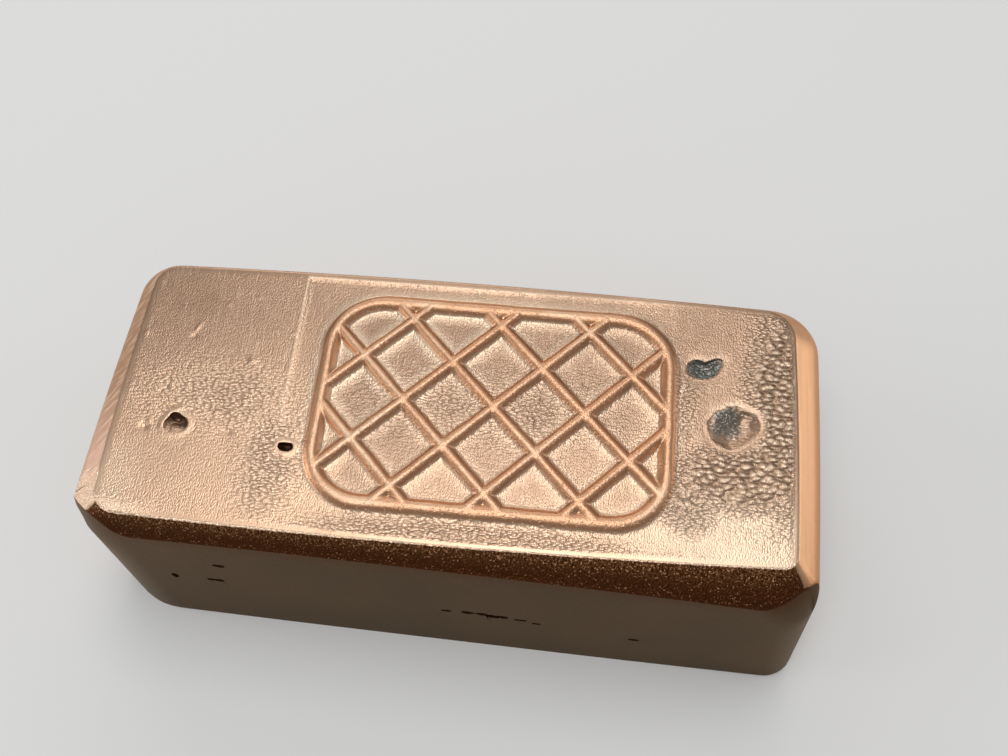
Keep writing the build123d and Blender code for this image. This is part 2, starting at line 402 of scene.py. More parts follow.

# Gas cavities and pores: how far the mouth reaches every 30 degrees from +x, depth, how the floor
# leans, how square the hollow is, height of the lip and how much painted shade the inside gets
hollows = {
    # the floor's lumps give place, radius, height and how much of each is slag
    "topCavities": [
        {"at": (31.5, 8.3), "reach": (2.2, 2.75, 1.3, 0.85, 1.25, 1.9, 2.45, 2.5, 2.05, 1.75, 1.75, 1.9),
         "depth": 1.4, "lean": (-0.1, 0.3), "square": 2.6, "lip": -0.04, "hollowShade": 0.2,
         "lumps": [(-1, -0.2, 1.5, 0.55, 1), (1.2, 0.5, 1.2, 0.5, 1), (0, 0, 3, 0.1, 1)]},
        {"at": (35.1, 0.5), "reach": (3.5, 3.35, 2.8, 2.8, 2.6, 2.95, 3.3, 3.4, 3.4, 3.25, 2.85, 3),
         "depth": 1.7, "lean": (-0.2, 0.4), "square": 1.8, "lip": -0.05, "hollowShade": 0.25,
         "lumps": [(-0.8, 0.9, 2, 1.15, 0.85), (-1.9, -0.5, 1.1, 0.3, 0.8), (-0.2, -0.3, 1.5, 0.1, 0.7)]},
        {"at": (-34.95, -5.5), "reach": (1.55, 1.4, 1.2, 1.4, 1.55, 1.35, 1.55, 1.65, 1.5, 1.3, 1.35, 1.5),
         "depth": 1.2, "lean": (0.1, 0.3), "square": 2.6, "lip": 0.1, "hollowShade": 0.7,
         "lumps": [(-0.1, -0.7, 1.15, 0.75, 0)]},
        {"at": (-20.5, -7.5), "reach": (1, 0.95, 0.7, 0.62, 0.7, 0.95, 0.95, 0.8, 0.65, 0.6, 0.7, 0.85),
         "depth": 1.3, "lean": (0, 0.4), "square": 3, "lip": 0.24, "hollowShade": 0.9},
    ],
    # x, height, depth and reach, as seen from the front
    "sidePores": [
        (-35.7, 13.8, 0.9, (0.5, 0.45, 0.4, 0.4, 0.4, 0.45, 0.5, 0.4, 0.4, 0.45, 0.4, 0.45)),
        (-28.6, 19.1, 0.6, (0.95, 0.5, 0.25, 0.2, 0.25, 0.4, 0.8, 0.4, 0.25, 0.25, 0.3, 0.5)),
        (-30.2, 13.8, 0.5, (1.3, 0.5, 0.22, 0.2, 0.2, 0.4, 1.2, 0.4, 0.2, 0.18, 0.22, 0.5)),
        (7.4, 12.1, 0.8, (1.5, 0.5, 0.3, 0.25, 0.22, 0.35, 1.6, 0.7, 0.4, 0.36, 0.3, 0.35)),
        (0.4, 12.2, 0.5, (0.9, 0.4, 0.2, 0.17, 0.2, 0.3, 0.6, 0.3, 0.18, 0.16, 0.2, 0.4)),
        (4.4, 12.4, 0.4, (1.8, 0.2, 0.1, 0.08, 0.1, 0.25, 1.9, 0.25, 0.1, 0.09, 0.1, 0.2)),
        (10.4, 11.8, 0.45, (0.9, 0.35, 0.2, 0.15, 0.2, 0.3, 0.9, 0.3, 0.2, 0.15, 0.2, 0.35)),
        (12.6, 11.1, 0.4, (0.6, 0.3, 0.16, 0.14, 0.16, 0.3, 0.7, 0.3, 0.16, 0.14, 0.16, 0.3)),
        (25.5, 9.2, 0.6, (0.85, 0.4, 0.25, 0.22, 0.25, 0.4, 0.7, 0.35, 0.24, 0.2, 0.24, 0.4)),
    ],
    # the cutters start this far above the surface
    "above": 0.9,
    "steps": 48,
    "levels": (1.0, 0.96, 0.88, 0.76, 0.6, 0.42, 0.22),
    "ragged": 0.045,
    "seed": 7,
    "plainSquare": 2.4,
    # the side's pores are taller than their outlines say
    "poreTall": 1.8,
    # lumps are whole below this depth, and no floor comes nearer to the surface than the second
    "lumpDepth": 0.8,
    "floorLeast": 0.05,
    # how a lump's swell becomes slag, and the rim share above which there is none
    "slagFrom": (2.2, 0.6, 0.95),
    # painted shade in the top's cavities grows towards the back: base, rise a millimetre, least and most
    "shade": (0.6, 0.7, 0.2, 1.3),
}


def ovalShare(points, place, half, turn=0.0):
    # 0 in the middle of an oval, 1 on its rim
    angle = math.radians(turn)
    away = points - np.array(place)
    u = away[..., 0] * math.cos(angle) + away[..., 1] * math.sin(angle)
    v = away[..., 1] * math.cos(angle) - away[..., 0] * math.sin(angle)
    return np.hypot(u / half[0], v / half[1])


def mouthReach(reach, angle):
    # smooth closed outline through the given reaches
    turns = np.arange(-2, len(reach) + 3) * 2 * np.pi / len(reach)
    values = np.array([reach[k % len(reach)] for k in range(-2, len(reach) + 3)])
    angle = np.mod(angle, 2 * np.pi)
    k = np.clip(np.searchsorted(turns, angle, side="right") - 1, 1, len(turns) - 3)
    t = (angle - turns[k]) / (turns[k + 1] - turns[k])
    before, start, end, after = values[k - 1], values[k], values[k + 1], values[k + 2]
    return 0.5 * (2 * start + (end - before) * t + (2 * before - 5 * start + 4 * end - after) * t**2
                  + (3 * start - before - 3 * end + after) * t**3)


def dressTop(grid):
    # heights and zone values of the top face
    flat = grid[..., :2]
    height = np.zeros(flat.shape[:2])
    right = (flat[..., 0] - topFace["plateCorner"][0]) / topFace["plateSize"][0]
    down = (topFace["plateCorner"][1] - flat[..., 1]) / topFace["plateSize"][1]
    edge = np.minimum(right * topFace["plateSize"][0], down * topFace["plateSize"][1])
    depth = np.clip(1 - right - down, 0, 1)
    height -= topFace["plateStep"] * depth * np.clip(edge / topFace["plateEdge"] + 0.5, 0, 1)
    lipHeight, lipPlace, lipWidth = topFace["plateLip"]
    outside = np.exp(-(((edge - lipPlace) / lipWidth) ** 2)) * np.clip(depth * 3, 0, 1) * (down < 1) * (right < 1)
    height += lipHeight * outside
    wrinkle = np.full(height.shape, topFace["wrinkleBase"])
    for x, y, length, width, strength in topFace["wrinkleZones"]:
        zone = strength * np.exp(-ovalShare(flat, (x, y), (length, width)) ** 2)
        wrinkle = np.maximum(wrinkle, zone)
    for x, y, length, width, rise, turn in topFace["marks"]:
        share = ovalShare(flat, (x, y), (length, width), turn)
        height += rise * np.exp(-topFace["markFall"] * share**2)
    # lip holds the painted highlight along the field's edge lip and along each cavity's inner edge
    lip = topFace["plateShine"] * outside
    lipPlace, lipWidth = topFace["cavityLip"]
    shineStart, shineWidth = topFace["cavityShine"]
    calmWidth, calmLeast = topFace["cavityCalm"]
    for cavity in hollows["topCavities"]:
        away = flat - np.array(cavity["at"])
        reach = mouthReach(cavity["reach"], np.arctan2(away[..., 1], away[..., 0]))
        beyond = np.hypot(*np.moveaxis(away, -1, 0)) - reach
        height += cavity["lip"] * np.exp(-(((beyond - lipPlace) / lipWidth) ** 2))
        # the cavity's painted highlight is strongest on its back side
        upper = np.clip(1.2 * away[..., 1] / (beyond + reach), 0.05, 1)
        lip = np.maximum(lip, upper * np.exp(-((np.maximum(beyond - shineStart, 0) / shineWidth) ** 2)))
        wrinkle *= np.clip(beyond / calmWidth, calmLeast, 1)
    return height, np.clip(wrinkle, 0, 1), lip


def groundAxes():
    # origin, level direction, direction up the slope and normal of the ground side
    lean = math.radians(bar["ground"]["lean"])
    turn = math.radians(bar["ground"]["turn"])
    normal = np.array((math.sin(turn) * math.cos(lean), -math.cos(turn) * math.cos(lean), math.sin(lean)))
    sideways = np.array((math.cos(turn), math.sin(turn), 0))
    return np.array((0, bar["ground"]["y"], bar["height"])), sideways, np.cross(normal, sideways), normal


def hollowCutters():
    # closed cutters of all cavities and pores in one mesh, with the slag at each point
    draw = np.random.default_rng(hollows["seed"])
    origin, sideways, upwards, normal = groundAxes()
    places = [((*c["at"], bar["height"]), np.eye(3), c, 0.0) for c in hollows["topCavities"]]
    for x, z, depth, reach in hollows["sidePores"]:
        below = (bar["height"] - z) / upwards[2]
        across = (x + below * upwards[0]) / sideways[0]
        place = origin + across * sideways - below * upwards
        places.append((place, np.array((sideways, upwards, normal)), {"reach": reach, "depth": depth}, 1.0))
    points, faces, slag, side, hollowShade = [], [], [], [], []
    count = hollows["steps"]
    angles = np.arange(count) * 2 * np.pi / count
    slagGain, slagStart, slagRim = hollows["slagFrom"]
    base, gain, least, most = hollows["shade"]
    for place, axes, hollow, onSide in places:
        reach = mouthReach(hollow["reach"], angles)
        lean = np.array(hollow.get("lean", (0, 0)))
        square = hollow.get("square", hollows["plainSquare"])
        tall = hollows["poreTall"] if onSide else 1
        start = len(points)
        rows = [(1.0, hollows["above"], np.zeros(2))]
        for share in hollows["levels"]:
            sunk = 1 - share**square
            rows.append((share, -hollow["depth"] * sunk, lean * sunk))
        for share, depth, moved in rows:
            jag = 1 + draw.normal(0, hollows["ragged"], count) * (depth < 0)
            u = np.cos(angles) * reach * share * jag + moved[0]
            v = np.sin(angles) * reach * share * jag * tall + moved[1]
            floor = np.full(count, depth)
            filled = np.zeros(count)
            for x, y, radius, height, amount in hollow.get("lumps", []):
                swell = np.exp(-(((u - x) ** 2 + (v - y) ** 2) / radius**2))
                floor += swell * height * min(1, -depth / hollows["lumpDepth"]) * (depth < 0)
                full = np.clip(swell * slagGain - slagStart, 0, 1) * (share < slagRim)
                filled = np.maximum(filled, amount * full)
            floor = np.where(depth < 0, np.minimum(floor, -hollows["floorLeast"]), floor)
            for a, b, c in zip(u, v, floor):
                points.append(np.array(place) + a * axes[0] + b * axes[1] + c * axes[2])
            slag += list(filled)
        for row in range(len(rows) - 1):
            for k in range(count):
                a, b = start + row * count + k, start + row * count + (k + 1) % count
                faces.append((a, a + count, b + count, b))
        faces.append(tuple(start + k for k in range(count)))
        last = start + (len(rows) - 1) * count
        points.append(np.mean(points[last : last + count], axis=0) - 0.02 * hollow["depth"] * axes[2])
        slag.append(slag[last])
        faces += [(last + (k + 1) % count, last + k, len(points) - 1) for k in range(count)]
        side += [onSide] * (len(points) - start)
        # each face's painted shade: the hollow's own amount, and in the top's cavities more towards the back
        for face in faces[len(hollowShade) :]:
            beyond = np.mean([points[corner][1] for corner in face]) - place[1]
            shade = 1 if onSide else np.clip(base + beyond * gain, least, most)
            hollowShade.append(hollow.get("hollowShade", 1.0) * shade)
    return np.array(points), faces, np.array(slag), np.array(side), hollowShade


def addObject(name, data):
    made = bpy.data.objects.new(name, data)
    bpy.context.collection.objects.link(made)
    return made


def meshObject(name, points, faces, values, faceValues):
    # points in millimetres from the top's middle; one number a point or a face for each attribute
    mesh = bpy.data.meshes.new(name)
    placed = (np.asarray(points) + np.array((*bar["shift"], 0))) * mm
    mesh.from_pydata(placed.tolist(), [], faces)
    for domain, given in (("POINT", values), ("FACE", faceValues)):
        for key, numbers in given.items():
            made = mesh.attributes.new(key, "FLOAT", domain)
            made.data.foreach_set("value", np.asarray(numbers, dtype=np.float32))
    mesh.polygons.foreach_set("use_smooth", [True] * len(mesh.polygons))
    mesh.validate()
    return addObject(name, mesh)


def castBody():
    # the top as a grid, the rings below it and the underside, in one closed mesh
    nx, ny = bar["columns"]
    step = bar["footStep"]
    rim, rings, cut = barSurface()
    flat = patch(rim[:, :2], nx, ny)
    grid = np.dstack([flat, np.full(flat.shape[:2], bar["height"])])
    rise, wrinkle, lip = dressTop(grid)
    i, j = np.meshgrid(np.arange(nx + 1), np.arange(ny + 1), indexing="ij")
    inwards = np.minimum(np.minimum(i, nx - i), np.minimum(j, ny - j))
    fade = np.clip(inwards / topFace["rimFade"], 0, 1)
    grid[..., 2] += rise * fade

    faces = gridFaces(0, nx, ny)
    before = edgeOrder(nx, ny) @ (ny + 1, 1)
    total, number = fade.size, len(rim)
    ground = [0] * len(faces)
    parts = [part + share for part, shares in enumerate(bar["rings"]) for share in shares]
    for part in parts:
        after = total + np.arange(number)
        for k in range(number):
            m = (k + 1) % number
            faces.append((before[k], after[k], after[m], before[m]))
            ground.append(int(2 < part <= 3 and cut[k] and cut[m]))
        before = after
        total += number

    # the underside is a coarser grid, joined to every few points of the foot
    under = bar["underside"]
    mx, my = nx // step, ny // step
    outer = rings[-1][::step]
    middle = outer.mean(axis=0)
    inner = patch((outer + (middle - outer) * under["inset"])[:, :2], mx, my)
    longWave, lengthX, lengthY = under["long"]
    shortWave, length = under["short"]
    wave = under["hollow"] + longWave * np.sin(inner[..., 0] / lengthX) * np.cos(inner[..., 1] / lengthY)
    wave += shortWave * np.sin(inner[..., 0] / length + 1)
    inside = total + edgeOrder(mx, my) @ (my + 1, 1)
    for m in range(len(inside)):
        after = (m + 1) % len(inside)
        arc = [before[(step * m + k) % number] for k in range(step, 0, -1)]
        faces.append((before[step * m], inside[m], inside[after], *arc))
    faces += [face[:1] + face[:0:-1] for face in gridFaces(total, mx, my)]
    faces = [tuple(int(v) for v in face) for face in faces]

    points = np.vstack([grid.reshape(-1, 3), *rings, np.dstack([inner, wave]).reshape(-1, 3)])
    below = np.zeros(len(points) - fade.size)
    values = {"top": fade, "wrinkle": wrinkle * fade, "lip": lip}
    values = {name: np.r_[given.ravel(), below] for name, given in values.items()}
    values["ring"] = np.r_[np.zeros(fade.size), np.repeat(parts, number), np.full(wave.size, 4)]
    values["slag"] = np.zeros(len(points))
    faceValues = {"pore": np.zeros(len(faces)), "ground": ground + [0] * (len(faces) - len(ground))}
    return meshObject("ingotBody", points, faces, values, faceValues)


# Raised ornament and cast skin, metres
skin = {
    "Frame Length": 0.0464,
    "Frame Width": 0.0300,
    "Frame Corner": 0.0080,
    "Frame Rib": 0.0022,
    "Frame Middle": (0.0049 - 0.00077, 0.0001 + 0.001495, 0.0),
    "Lattice Rib": 0.0018,
    "Lattice Pitch": 0.0082,
    "Lattice Angle": math.radians(45),
    "Lattice Count": 11,
    "Relief Top": 0.02885,
    "Rib Power": 2.4,
    # how far inside the frame the lattice begins, and how far off it counts as outside
    "Inside Low": 0.0004,
    "Inside High": 0.0009,
    "Outside Shift": 0.05,
    # how the ribs waver in place and in height
    "Sway Scale": 300.0,
    "Sway Width": 0.0003,
    "Sway Height": 0.0001,
    # the skin rises towards the ribs, from this far off
    "Slope Start": 0.0007,
    "Slope Height": 0.00014,
    "Slope Width": 0.0021,
    "Slope Power": 1.6,
    "Wrinkle Height": 0.00006,
    "Wrinkle Scale": 1.6,
    "Wrinkle Length": 0.0012,
    "Wrinkle Stretch": (0.42, 1.0, 1.0),
    "Drift Scale": 110.0,
    "Drift Reach": 0.004,
    "Grain Height": 0.00003,
    "Grain Scale": 1300.0,
    "Pit Density": 2500.0,
    "Pit Depth": 0.00006,
    "Pit Radius": 0.0003,
    "Seed": 3,
    # nothing sticks out of this box
    "Box Low": tuple(cadBox[0]),
    "Box High": tuple(cadBox[1]),
}


def skinTree(material):
    # raises the ribs, wrinkles and pits, and keeps how near each point is to a rib
    tree = bpy.data.node_groups.new("castSkin", "GeometryNodeTree")
    tree.interface.new_socket("Geometry", in_out="INPUT", socket_type="NodeSocketGeometry")
    tree.interface.new_socket("Geometry", in_out="OUTPUT", socket_type="NodeSocketGeometry")
    for name, value in skin.items():
        kind = "Int" if isinstance(value, int) else "Vector" if isinstance(value, tuple) else "Float"
        tree.interface.new_socket(name, in_out="INPUT", socket_type="NodeSocket" + kind).default_value = value
    bench = Bench(tree)
    given = bench.make("NodeGroupInput")
    size = {name: given.other(name) for name in skin}

    def node(kind, values=None, settings=None, out=0):
        return bench.make("GeometryNode" + kind, settings, values, out)

    def attribute(name):
        return node("InputNamedAttribute", {"Name": name}, {"data_type": "FLOAT"})

    def vector(operation, *values, out=0):
        return bench.make("ShaderNodeVectorMath", {"operation": operation}, dict(enumerate(values)), out)

    def scaled(value, scale):
        return bench.make("ShaderNodeVectorMath", {"operation": "SCALE"}, {0: value, "Scale": scale})

    def combined(x, y, z):
        return bench.make("ShaderNodeCombineXYZ", {}, {"X": x, "Y": y, "Z": z})

    def centred(geometry, **turn):
        return node("Transform", {"Geometry": geometry, "Translation": size["Frame Middle"], **turn})

    place = node("InputPosition")
    altitude = bench.make("ShaderNodeSeparateXYZ", {}, {"Vector": place}).other("Z")
    level = vector("MULTIPLY", place, (1, 1, 0))

    # frame and lattice as lines on the level plane
    width, height = size["Frame Length"] - size["Frame Rib"], size["Frame Width"] - size["Frame Rib"]
    radius = size["Frame Corner"] - size["Frame Rib"] * 0.5
    outline = node("CurvePrimitiveQuadrilateral", {"Width": width, "Height": height}, {"mode": "RECTANGLE"})
    outline = node("FilletCurve", {"Curve": outline, "Count": 16, "Radius": radius}, {"mode": "POLY"})
    outline = node("CurveToMesh", {"Curve": centred(outline)})
    reach = size["Frame Length"] + size["Frame Width"]
    stroke = node("CurvePrimitiveLine", {"Start": combined(0, reach * -0.5, 0), "End": combined(0, reach * 0.5, 0)})
    count, pitch = size["Lattice Count"], size["Lattice Pitch"]
    start = combined((count - 1) * pitch * -0.5, 0, 0)
    spots = {"Count": count, "Start Location": start, "Offset": combined(pitch, 0, 0)}
    spots = node("MeshLine", spots, {"mode": "OFFSET"})
    strokes = node("InstanceOnPoints", {"Points": spots, "Instance": stroke})
    crossed = [centred(strokes, Rotation=combined(0, 0, size["Lattice Angle"] * sign)) for sign in (1, -1)]
    lattice = node("RealizeInstances", {"Geometry": node("JoinGeometry", {"Geometry": crossed})})
    lattice = node("CurveToMesh", {"Curve": lattice})

    def distanceTo(target, element="EDGES"):
        values = {"Geometry": target, "Sample Position": level}
        return node("Proximity", values, {"target_element": element}, "Distance")

    # inside of the frame, as a distance to its rounded rectangle
    half = combined(size["Frame Length"] * 0.5, size["Frame Width"] * 0.5, 0)
    corner = combined(size["Frame Corner"], size["Frame Corner"], 0)
    fromMiddle = vector("ABSOLUTE", vector("SUBTRACT", level, size["Frame Middle"]))
    fromCorner = vector("SUBTRACT", fromMiddle, vector("SUBTRACT", half, corner))
    outside = vector("LENGTH", vector("MAXIMUM", fromCorner, (0, 0, 0)), out="Value")
    inside = bench.rise(size["Frame Corner"] - outside, size["Inside Low"], size["Inside High"])

    def ridge(distance, width):
        share = bench.smaller(distance / (width * 0.5), 1)
        return 1 - share ** size["Rib Power"]

    sway = bench.noise(place, size["Sway Scale"]) - 0.5
    frameDistance = distanceTo(outline) + sway * size["Sway Width"]
    latticeDistance = distanceTo(lattice) + sway * size["Sway Width"]
    latticeRib = ridge(latticeDistance, size["Lattice Rib"]) * inside
    onTop = attribute("top")
    rib = bench.larger(ridge(frameDistance, size["Frame Rib"]), latticeRib) * bench.rise(onTop, 0.2, 0.9)
    near = bench.smaller(frameDistance, latticeDistance + (1 - inside) * size["Outside Shift"])
    slope = bench.larger(1 - bench.larger(near - size["Slope Start"], 0) / size["Slope Width"], 0)
    halo = slope ** size["Slope Power"] * onTop

    # wrinkles of the cast skin: short waves along X that wander, calmer on the ribs
    drift = bench.noise(place, size["Drift Scale"], 1.0, out="Color")
    drift = scaled(vector("SUBTRACT", drift, (0.5, 0.5, 0.5)), size["Drift Reach"])
    stretched = bench.stretch(vector("ADD", place, drift), size["Wrinkle Stretch"])
    waves = bench.noise(stretched, 1 / size["Wrinkle Length"] * size["Wrinkle Scale"], 1.5, 0.45)
    waves = bench.rise(waves, 0.3, 0.7) - 0.5
    wrinkles = waves * size["Wrinkle Height"] * attribute("wrinkle") * (1 - rib)

    # a few small pits
    seeds = {"Mesh": given, "Selection": onTop - 0.5, "Density": size["Pit Density"], "Seed": size["Seed"]}
    seeds = node("DistributePointsOnFaces", seeds, {"distribute_method": "RANDOM"})
    seeds = node("SetPosition", {"Geometry": seeds, "Position": level})
    pitShare = bench.smaller(distanceTo(seeds, "POINTS") / size["Pit Radius"], 1)
    pits = (1 - pitShare * pitShare) * size["Pit Depth"] * onTop * (1 - rib)

    below = bench.rise(attribute("ring"), 0.0, 0.7)
    grain = (bench.noise(place, size["Grain Scale"], 2.0, 0.6) - 0.5) * size["Grain Height"] * below
    lifted = rib * (size["Relief Top"] + sway * size["Sway Height"] - altitude)
    lift = lifted + (halo * size["Slope Height"] + wrinkles - pits) * (1 - rib)
    moved = node("SetPosition", {"Geometry": given, "Offset": combined(0, 0, lift)})
    moved = node("SetPosition", {"Geometry": moved, "Offset": scaled(node("InputNormal"), grain)})
    kept = vector("MINIMUM", vector("MAXIMUM", place, size["Box Low"]), size["Box High"])
    moved = node("SetPosition", {"Geometry": moved, "Position": kept})
    for name, value in (("rib", rib), ("halo", halo)):
        stored = {"Geometry": moved, "Name": name, "Value": value}
        moved = node("StoreNamedAttribute", stored, {"data_type": "FLOAT", "domain": "POINT"})
    moved = node("RealizeInstances", {"Geometry": moved})
    moved = node("SetMaterial", {"Geometry": moved, "Material": material})
    bench.make("NodeGroupOutput", {}, {"Geometry": moved})
    return tree


def evaluatedMesh(thing):
    # the result of the modifiers as a plain mesh, with the modifiers removed
    depsgraph = bpy.context.evaluated_depsgraph_get()
    result = bpy.data.meshes.new_from_object(thing.evaluated_get(depsgraph), depsgraph=depsgraph)
    thing.modifiers.clear()
    thing.data = result
    return result


def dressBody(body, material):
    # skin and ornament first, then the hollows
    modifier = body.modifiers.new("castSkin", "NODES")
    modifier.node_group = skinTree(material)
    for item in modifier.node_group.interface.items_tree:
        if item.in_out == "INPUT" and item.name in skin:
            modifier[item.identifier] = skin[item.name]
    evaluatedMesh(body)
    print("skin and ornament", len(body.data.polygons))

    # the cutters' points carry the values of what lies around their mouths
    points, faces, slag, side, hollowShade = hollowCutters()
    values = {"slag": slag, "top": 1 - side, "ring": side * 2.5}
    values |= {name: np.zeros(len(slag)) for name in ("wrinkle", "rib", "halo", "lip")}
    # the cutter's faces carry the painted shade of their hollows
    cutter = meshObject("hollowCutter", points, faces, values, {"pore": hollowShade, "ground": np.zeros(len(faces))})
    cut = body.modifiers.new("hollows", "BOOLEAN")
    cut.operation = "DIFFERENCE"
    cut.solver = "MANIFOLD"
    cut.object = cutter
    evaluatedMesh(body)
    bpy.data.objects.remove(cutter)
    print("hollows cut", len(body.data.polygons))


def sharpenEdges(mesh):
    # sharp edges by angle, but none in the soft relief of the ornament
    mesh.set_sharp_from_angle(angle=math.radians(bar["sharpFrom"]))
    count = len(mesh.edges)
    sharp = np.zeros(count, dtype=bool)
    mesh.attributes["sharp_edge"].data.foreach_get("value", sharp)
    ends = np.zeros(count * 2, dtype=np.int32)
    mesh.edges.foreach_get("vertices", ends)
    halo = np.zeros(len(mesh.vertices), dtype=np.float32)
    mesh.attributes["halo"].data.foreach_get("value", halo)
    soft = (halo[ends.reshape(-1, 2)] > bar["softHalo"]).any(axis=1)
    mesh.attributes["sharp_edge"].data.foreach_set("value", sharp & ~soft)


# Copper: colours as linear RGB, places in millimetres from the top's middle
copper = {
    "tones": {
        # the darker top tone stands for painted shade as well as darker mottle; the paler one for painted highlights
        # as well as pale wear marks
        "top": (0.68, 0.448, 0.302, 1), "topDull": (0.39, 0.25, 0.168, 1), "topPale": (0.92, 0.73, 0.54, 1),
        # the pale ridge tone is a painted highlight; the dark strip tone is partly the as-cast band's oxide and partly
        # painted shade
        "relief": (0.60, 0.285, 0.14, 1), "ridgeSpark": (1.0, 0.74, 0.54, 1), "strip": (0.075, 0.024, 0.008, 1),
        # the strip's pale fleck tone is a painted highlight
        "stripGold": (0.20, 0.10, 0.038, 1), "stripSpark": (0.60, 0.31, 0.16, 1), "wall": (0.42, 0.21, 0.105, 1),
        # the left band's pale pink is a painted highlight from the low light at the left
        "wallDull": (0.20, 0.095, 0.05, 1), "bandRight": (0.75, 0.42, 0.235, 1), "bandLeft": (0.80, 0.52, 0.40, 1),
        # the ground tone's near-black is painted shade for the dark that the flat ground face reflects
        "bandBack": (0.52, 0.29, 0.18, 1), "ground": (0.062, 0.038, 0.020, 1), "groundPale": (0.094, 0.060, 0.034, 1),
        # the slag's pale fleck tone is a painted highlight, and the pore tone is painted shade inside the hollows
        "slag": (0.17, 0.17, 0.155, 1), "slagPale": (0.62, 0.58, 0.50, 1), "pore": (0.045, 0.016, 0.008, 1),
    },
    "specularTint": (0.95, 0.84, 0.74, 1),
    # of the plain top, and of what differs from it
    "roughness": {"plain": 0.4, "ridge": 0.3, "wall": 0.52, "band": 0.36, "strip": 0.45, "ground": 0.42, "slag": 0.24},
    # stretch, cells a metre, detail and roughness of each noise
    "noises": {
        "ragged": ((1, 1, 1), 2600, 2, 0.6), "cloud": ((1, 1, 1), 60, 3, 0.6),
        "grit": ((1, 1, 1), 4200, 2, 0.65), "brushed": ((1, 0.07, 0.4), 5200, 1, 0.5),
        "streaks": ((1, 0.06, 1), 1500, 2, 0.55), "hatch": ((0.12, 1, 0.12), 2600, 1, 0.5),
        "rolled": ((1, 1, 0.15), 2600, 2, 0.6),
    },
    "hatchTurn": 0.8,
    # stretch and cells a metre of each layer of pebbles, and how far all but the fine ones drift
    "pebbles": {"fine": ((1, 0.6, 1), 5200), "middle": ((0.7, 1.4, 1), 2200), "coarse": ((0.75, 1.25, 1), 1100),
                "grains": ((1, 1, 1), 3400)},
    "drift": (520, 0.0006),
    # from, to, strength and how ragged the edge is
    "zones": {
        "hollow": (0.02, 0.05), "upper": (0.6, 0.85, 1, 0.6), "front": (0.02, 0.15), "offRidge": (0.2, 0.6),
        "band": (0.5, 1, 1, 0.9), "wall": (1.85, 2.1), "ridgeFrom": (0.05, 0.35, 1, 0.9),
        "ridgeTo": (0.85, 0.55, 1, 0.9), "ridgeFront": (0.02, 0.12),
        "cornerX": (-40, -43), "cornerY": (-11, -15),
        "marginX": (-33, -42), "marginY": (-15.4, -16.8, 1, 2), "marginRing": (0.9, 0.1, 0.8),
        "shadeBack": (-10, 12), "shadeLeft": (0, -35, 0.2), "dullCloud": (0.45, 0.7, 0.3),
        "dullRightX": (24, 30), "dullRightY": (-9, -3, 0.3), "fieldX": (22, 17), "fieldY": (14, 10, 0.7),
        "crumpled": (0.12, 0.6, 0.95), "crumpledOver": (0.55, 0.9, 0.7), "pebbled": (0.5, 0.95),
        "middleCrest": (0.75, 0.95, 0.6), "coarseCrest": (0.7, 0.95, 0.6),
        "highlightRight": (20, 32, 0.45), "highlightLeft": (-36, -42, 0.35), "highlightFront": (-6, -13),
        "brushed": (0.55, 0.8, 0.3), "haloOuter": (-2, 12, 0.6),
        "relief": (0.05, 0.5, 0.75), "reliefCore": (0.2, 0.6), "reliefGrit": (0.54, 0.66, 0.6),
        "crown": (0.75, 1), "crownCloud": (0.4, 0.65, 0.35),
        "bandBack": (-14, 2), "hatched": (0.52, 0.62, 0.5), "bandRight": (-5, 5), "hatchLeft": (5, -5),
        "streaked": (0.45, 0.75, 0.2), "rightEnd": (30, 40), "bandOuter": (1.3, 1.85, 0.55, 0.3),
        "bandFoot": (1.8, 1.9, 0.75, 0.25), "bandBehind": (0.3, 0.5, 0.75),
        "mottledCloud": (0.4, 0.65, 0.5), "mottledGrit": (0.5, 0.7, 0.25),
        "goldUpper": (1.75, 1, 0.6), "goldGrains": (0.4, 0.9), "stripHighlightsUpper": (1.7, 1, 0.07), "stripHighlights": (0.63, 0.7),
        "ridgeHighlightGrit": (0.35, 0.5), "groundCloud": (0.35, 0.7), "groundHigh": (20.2, 20.8),
        "groundEdge": (2.12, 2, 0.7, 0.2), "hollowFrontHighlight": (0.2, 0.7, 0.5), "slagGrit": (0.55, 0.66),
    },
    # least shares, and how much one value counts in another
    "shares": {
        "dull": 0.5, "crumpled": 0.05, "halo": 0.22, "crown": 0.1, "middleGroove": 0.4, "coarseGroove": 0.45,
        "lip": 0.45, "cloudRough": 0.2, "cloudWrinkle": 0.35, "slagMetal": 0.3, "frontSide": 0.6,
        "haloSlope": 0.6, "pebbleFall": 1.9,
    },
    # how high each texture stands in each area, micrometres
    "lifts": {
        "grained": {"fine": 16}, "crumpled": {"middle": 130}, "pebbled": {"coarse": 340}, "plain": {"brushed": 12},
        "relief": {"grit": 60}, "hollow": {"grit": 50, "middle": 40}, "strip": {"grains": 60, "grit": 70},
        "ridge": {"grit": 160}, "corner": {"grit": 220}, "upper": {"streaks": 8, "grit": 10},
        "upperLeft": {"hatch": 50}, "wall": {"grit": 20, "middle": 30, "coarse": 30},
        "ground": {"rolled": 30, "grit": 10}, "slag": {"middle": 80, "grit": 50},
    },
}


